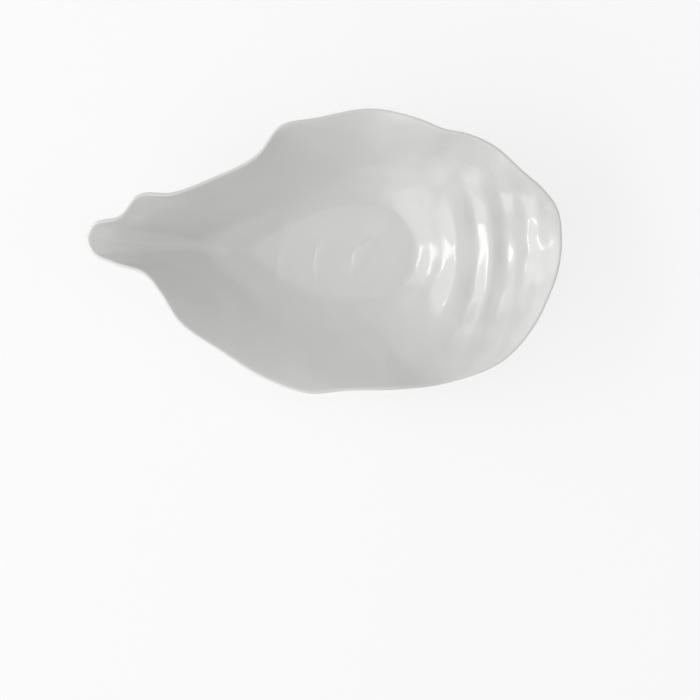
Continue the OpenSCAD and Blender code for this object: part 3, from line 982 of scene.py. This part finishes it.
class SHELLPLATE_OT_foot(bpy.types.Operator):
    """Makes the unglazed foot ring, a rounded section carried around an oval"""

    bl_idname = "shell_plate.foot"
    bl_label = "Foot ring"

    def execute(self, context):
        sizes = context.scene.foot_sizes
        rows = foot_surface(sizes)
        faces = grid_faces(*rows.shape[:2], closed=True)
        piece = make_mesh("foot_ring_clay", rows.reshape(-1, 3), faces)
        standing = 1.0 - ramp((0.0, sizes.foot_edge), rows[..., 2] - FOOT_LOW.z)
        point_values(piece, "standing", standing)
        dress(piece, clay_material(context.scene.plate_colours), "foot_ring")
        return {"FINISHED"}


def area_lamp(name, place, target, size, watts):
    """Soft rectangular lamp at a place, turned to a target."""
    lamp = bpy.data.lights.new(name, "AREA")
    lamp.shape = "RECTANGLE"
    lamp.size, lamp.size_y = size
    lamp.energy = watts
    thing = bpy.data.objects.new(name, lamp)
    bpy.context.scene.collection.objects.link(thing)
    thing.location = place
    thing.rotation_euler = (Vector(target) - Vector(place)).to_track_quat("-Z", "Y").to_euler()


def even_light(scene, settings):
    """Even light from all around, which is shown as plain white."""
    world = bpy.data.worlds.new("even_light")
    world.use_nodes = True
    scene.world = world
    tree = world.node_tree
    strength = span(tree, shown(tree), settings.sky_strength, 1.0)
    attach(tree, tree.nodes["Background"], {"Color": WHITE, "Strength": strength})


def place_camera(scene, settings):
    """Camera at its distance and elevation, moved sideways and tilted so that the plate's middle falls on
    its pixel."""
    lens = bpy.data.cameras.new("camera")
    lens.lens = settings.lens_mm
    lens.sensor_width = SENSOR_MM
    camera = bpy.data.objects.new("camera", lens)
    scene.collection.objects.link(camera)
    scene.camera = camera
    metres_per_px = settings.view_distance * SENSOR_MM / (settings.lens_mm * IMAGE_PX)
    right = (IMAGE_PX / 2 - settings.plate_px_x) * metres_per_px
    down = (IMAGE_PX / 2 - settings.plate_px_y) * metres_per_px
    rise, back = math.sin(settings.view_elevation), math.cos(settings.view_elevation)
    high = rise * settings.view_distance
    away = back * settings.view_distance
    camera.location = (right, -away, RIM_Z + high)
    camera.rotation_euler = (math.atan2(away - down / rise, high), 0.0, 0.0)


class SHELLPLATE_OT_stage(bpy.types.Operator):
    """Makes the floor, the lights and the camera"""

    bl_idname = "shell_plate.stage"
    bl_label = "Stage"

    def execute(self, context):
        scene = context.scene
        settings = scene.stage_settings
        corners = FLOOR_HALF * np.array([[-1, -1, 0], [1, -1, 0], [1, 1, 0], [-1, 1, 0]])
        floor = make_mesh("floor", corners, np.array([[0, 1, 2, 3]]))
        floor.data.materials.append(floor_material(settings))
        for name, lamp in LAMPS.items():
            area_lamp(name, *lamp)
        even_light(scene, settings)
        place_camera(scene, settings)
        scene.view_settings.view_transform = "Standard"
        return {"FINISHED"}


class SHELLPLATE_PT_panel(bpy.types.Panel):
    """Lists the plate's pieces and settings"""

    bl_idname = "SHELLPLATE_PT_panel"
    bl_label = "Shell plate"
    bl_space_type = "VIEW_3D"
    bl_region_type = "UI"
    bl_category = "Shell plate"

    def draw(self, context):
        for operator in PIECES:
            self.layout.operator(operator.bl_idname)
        for settings in SETTINGS:
            group = getattr(context.scene, settings)
            box = self.layout.box()
            for key in group.__annotations__:
                box.prop(group, key)


PIECES = (SHELLPLATE_OT_shell, SHELLPLATE_OT_foot, SHELLPLATE_OT_stage)
SETTINGS = {
    "shell_sizes": ShellSizes,
    "foot_sizes": FootSizes,
    "plate_colours": PlateColours,
    "stage_settings": StageSettings,
}


def register():
    """Registers the settings, the operators and the panel."""
    for key, kind in SETTINGS.items():
        bpy.utils.register_class(kind)
        setattr(bpy.types.Scene, key, PointerProperty(type=kind))
    for kind in (*PIECES, SHELLPLATE_PT_panel):
        bpy.utils.register_class(kind)


def unregister():
    """Takes away what register added."""
    for kind in (SHELLPLATE_PT_panel, *reversed(PIECES)):
        bpy.utils.unregister_class(kind)
    for key, kind in SETTINGS.items():
        delattr(bpy.types.Scene, key)
        bpy.utils.unregister_class(kind)


def main():
    """Makes every piece in order."""
    register()
    bpy.ops.shell_plate.shell()
    bpy.ops.shell_plate.foot()
    bpy.ops.shell_plate.stage()


if __name__ == "__main__":
    main()
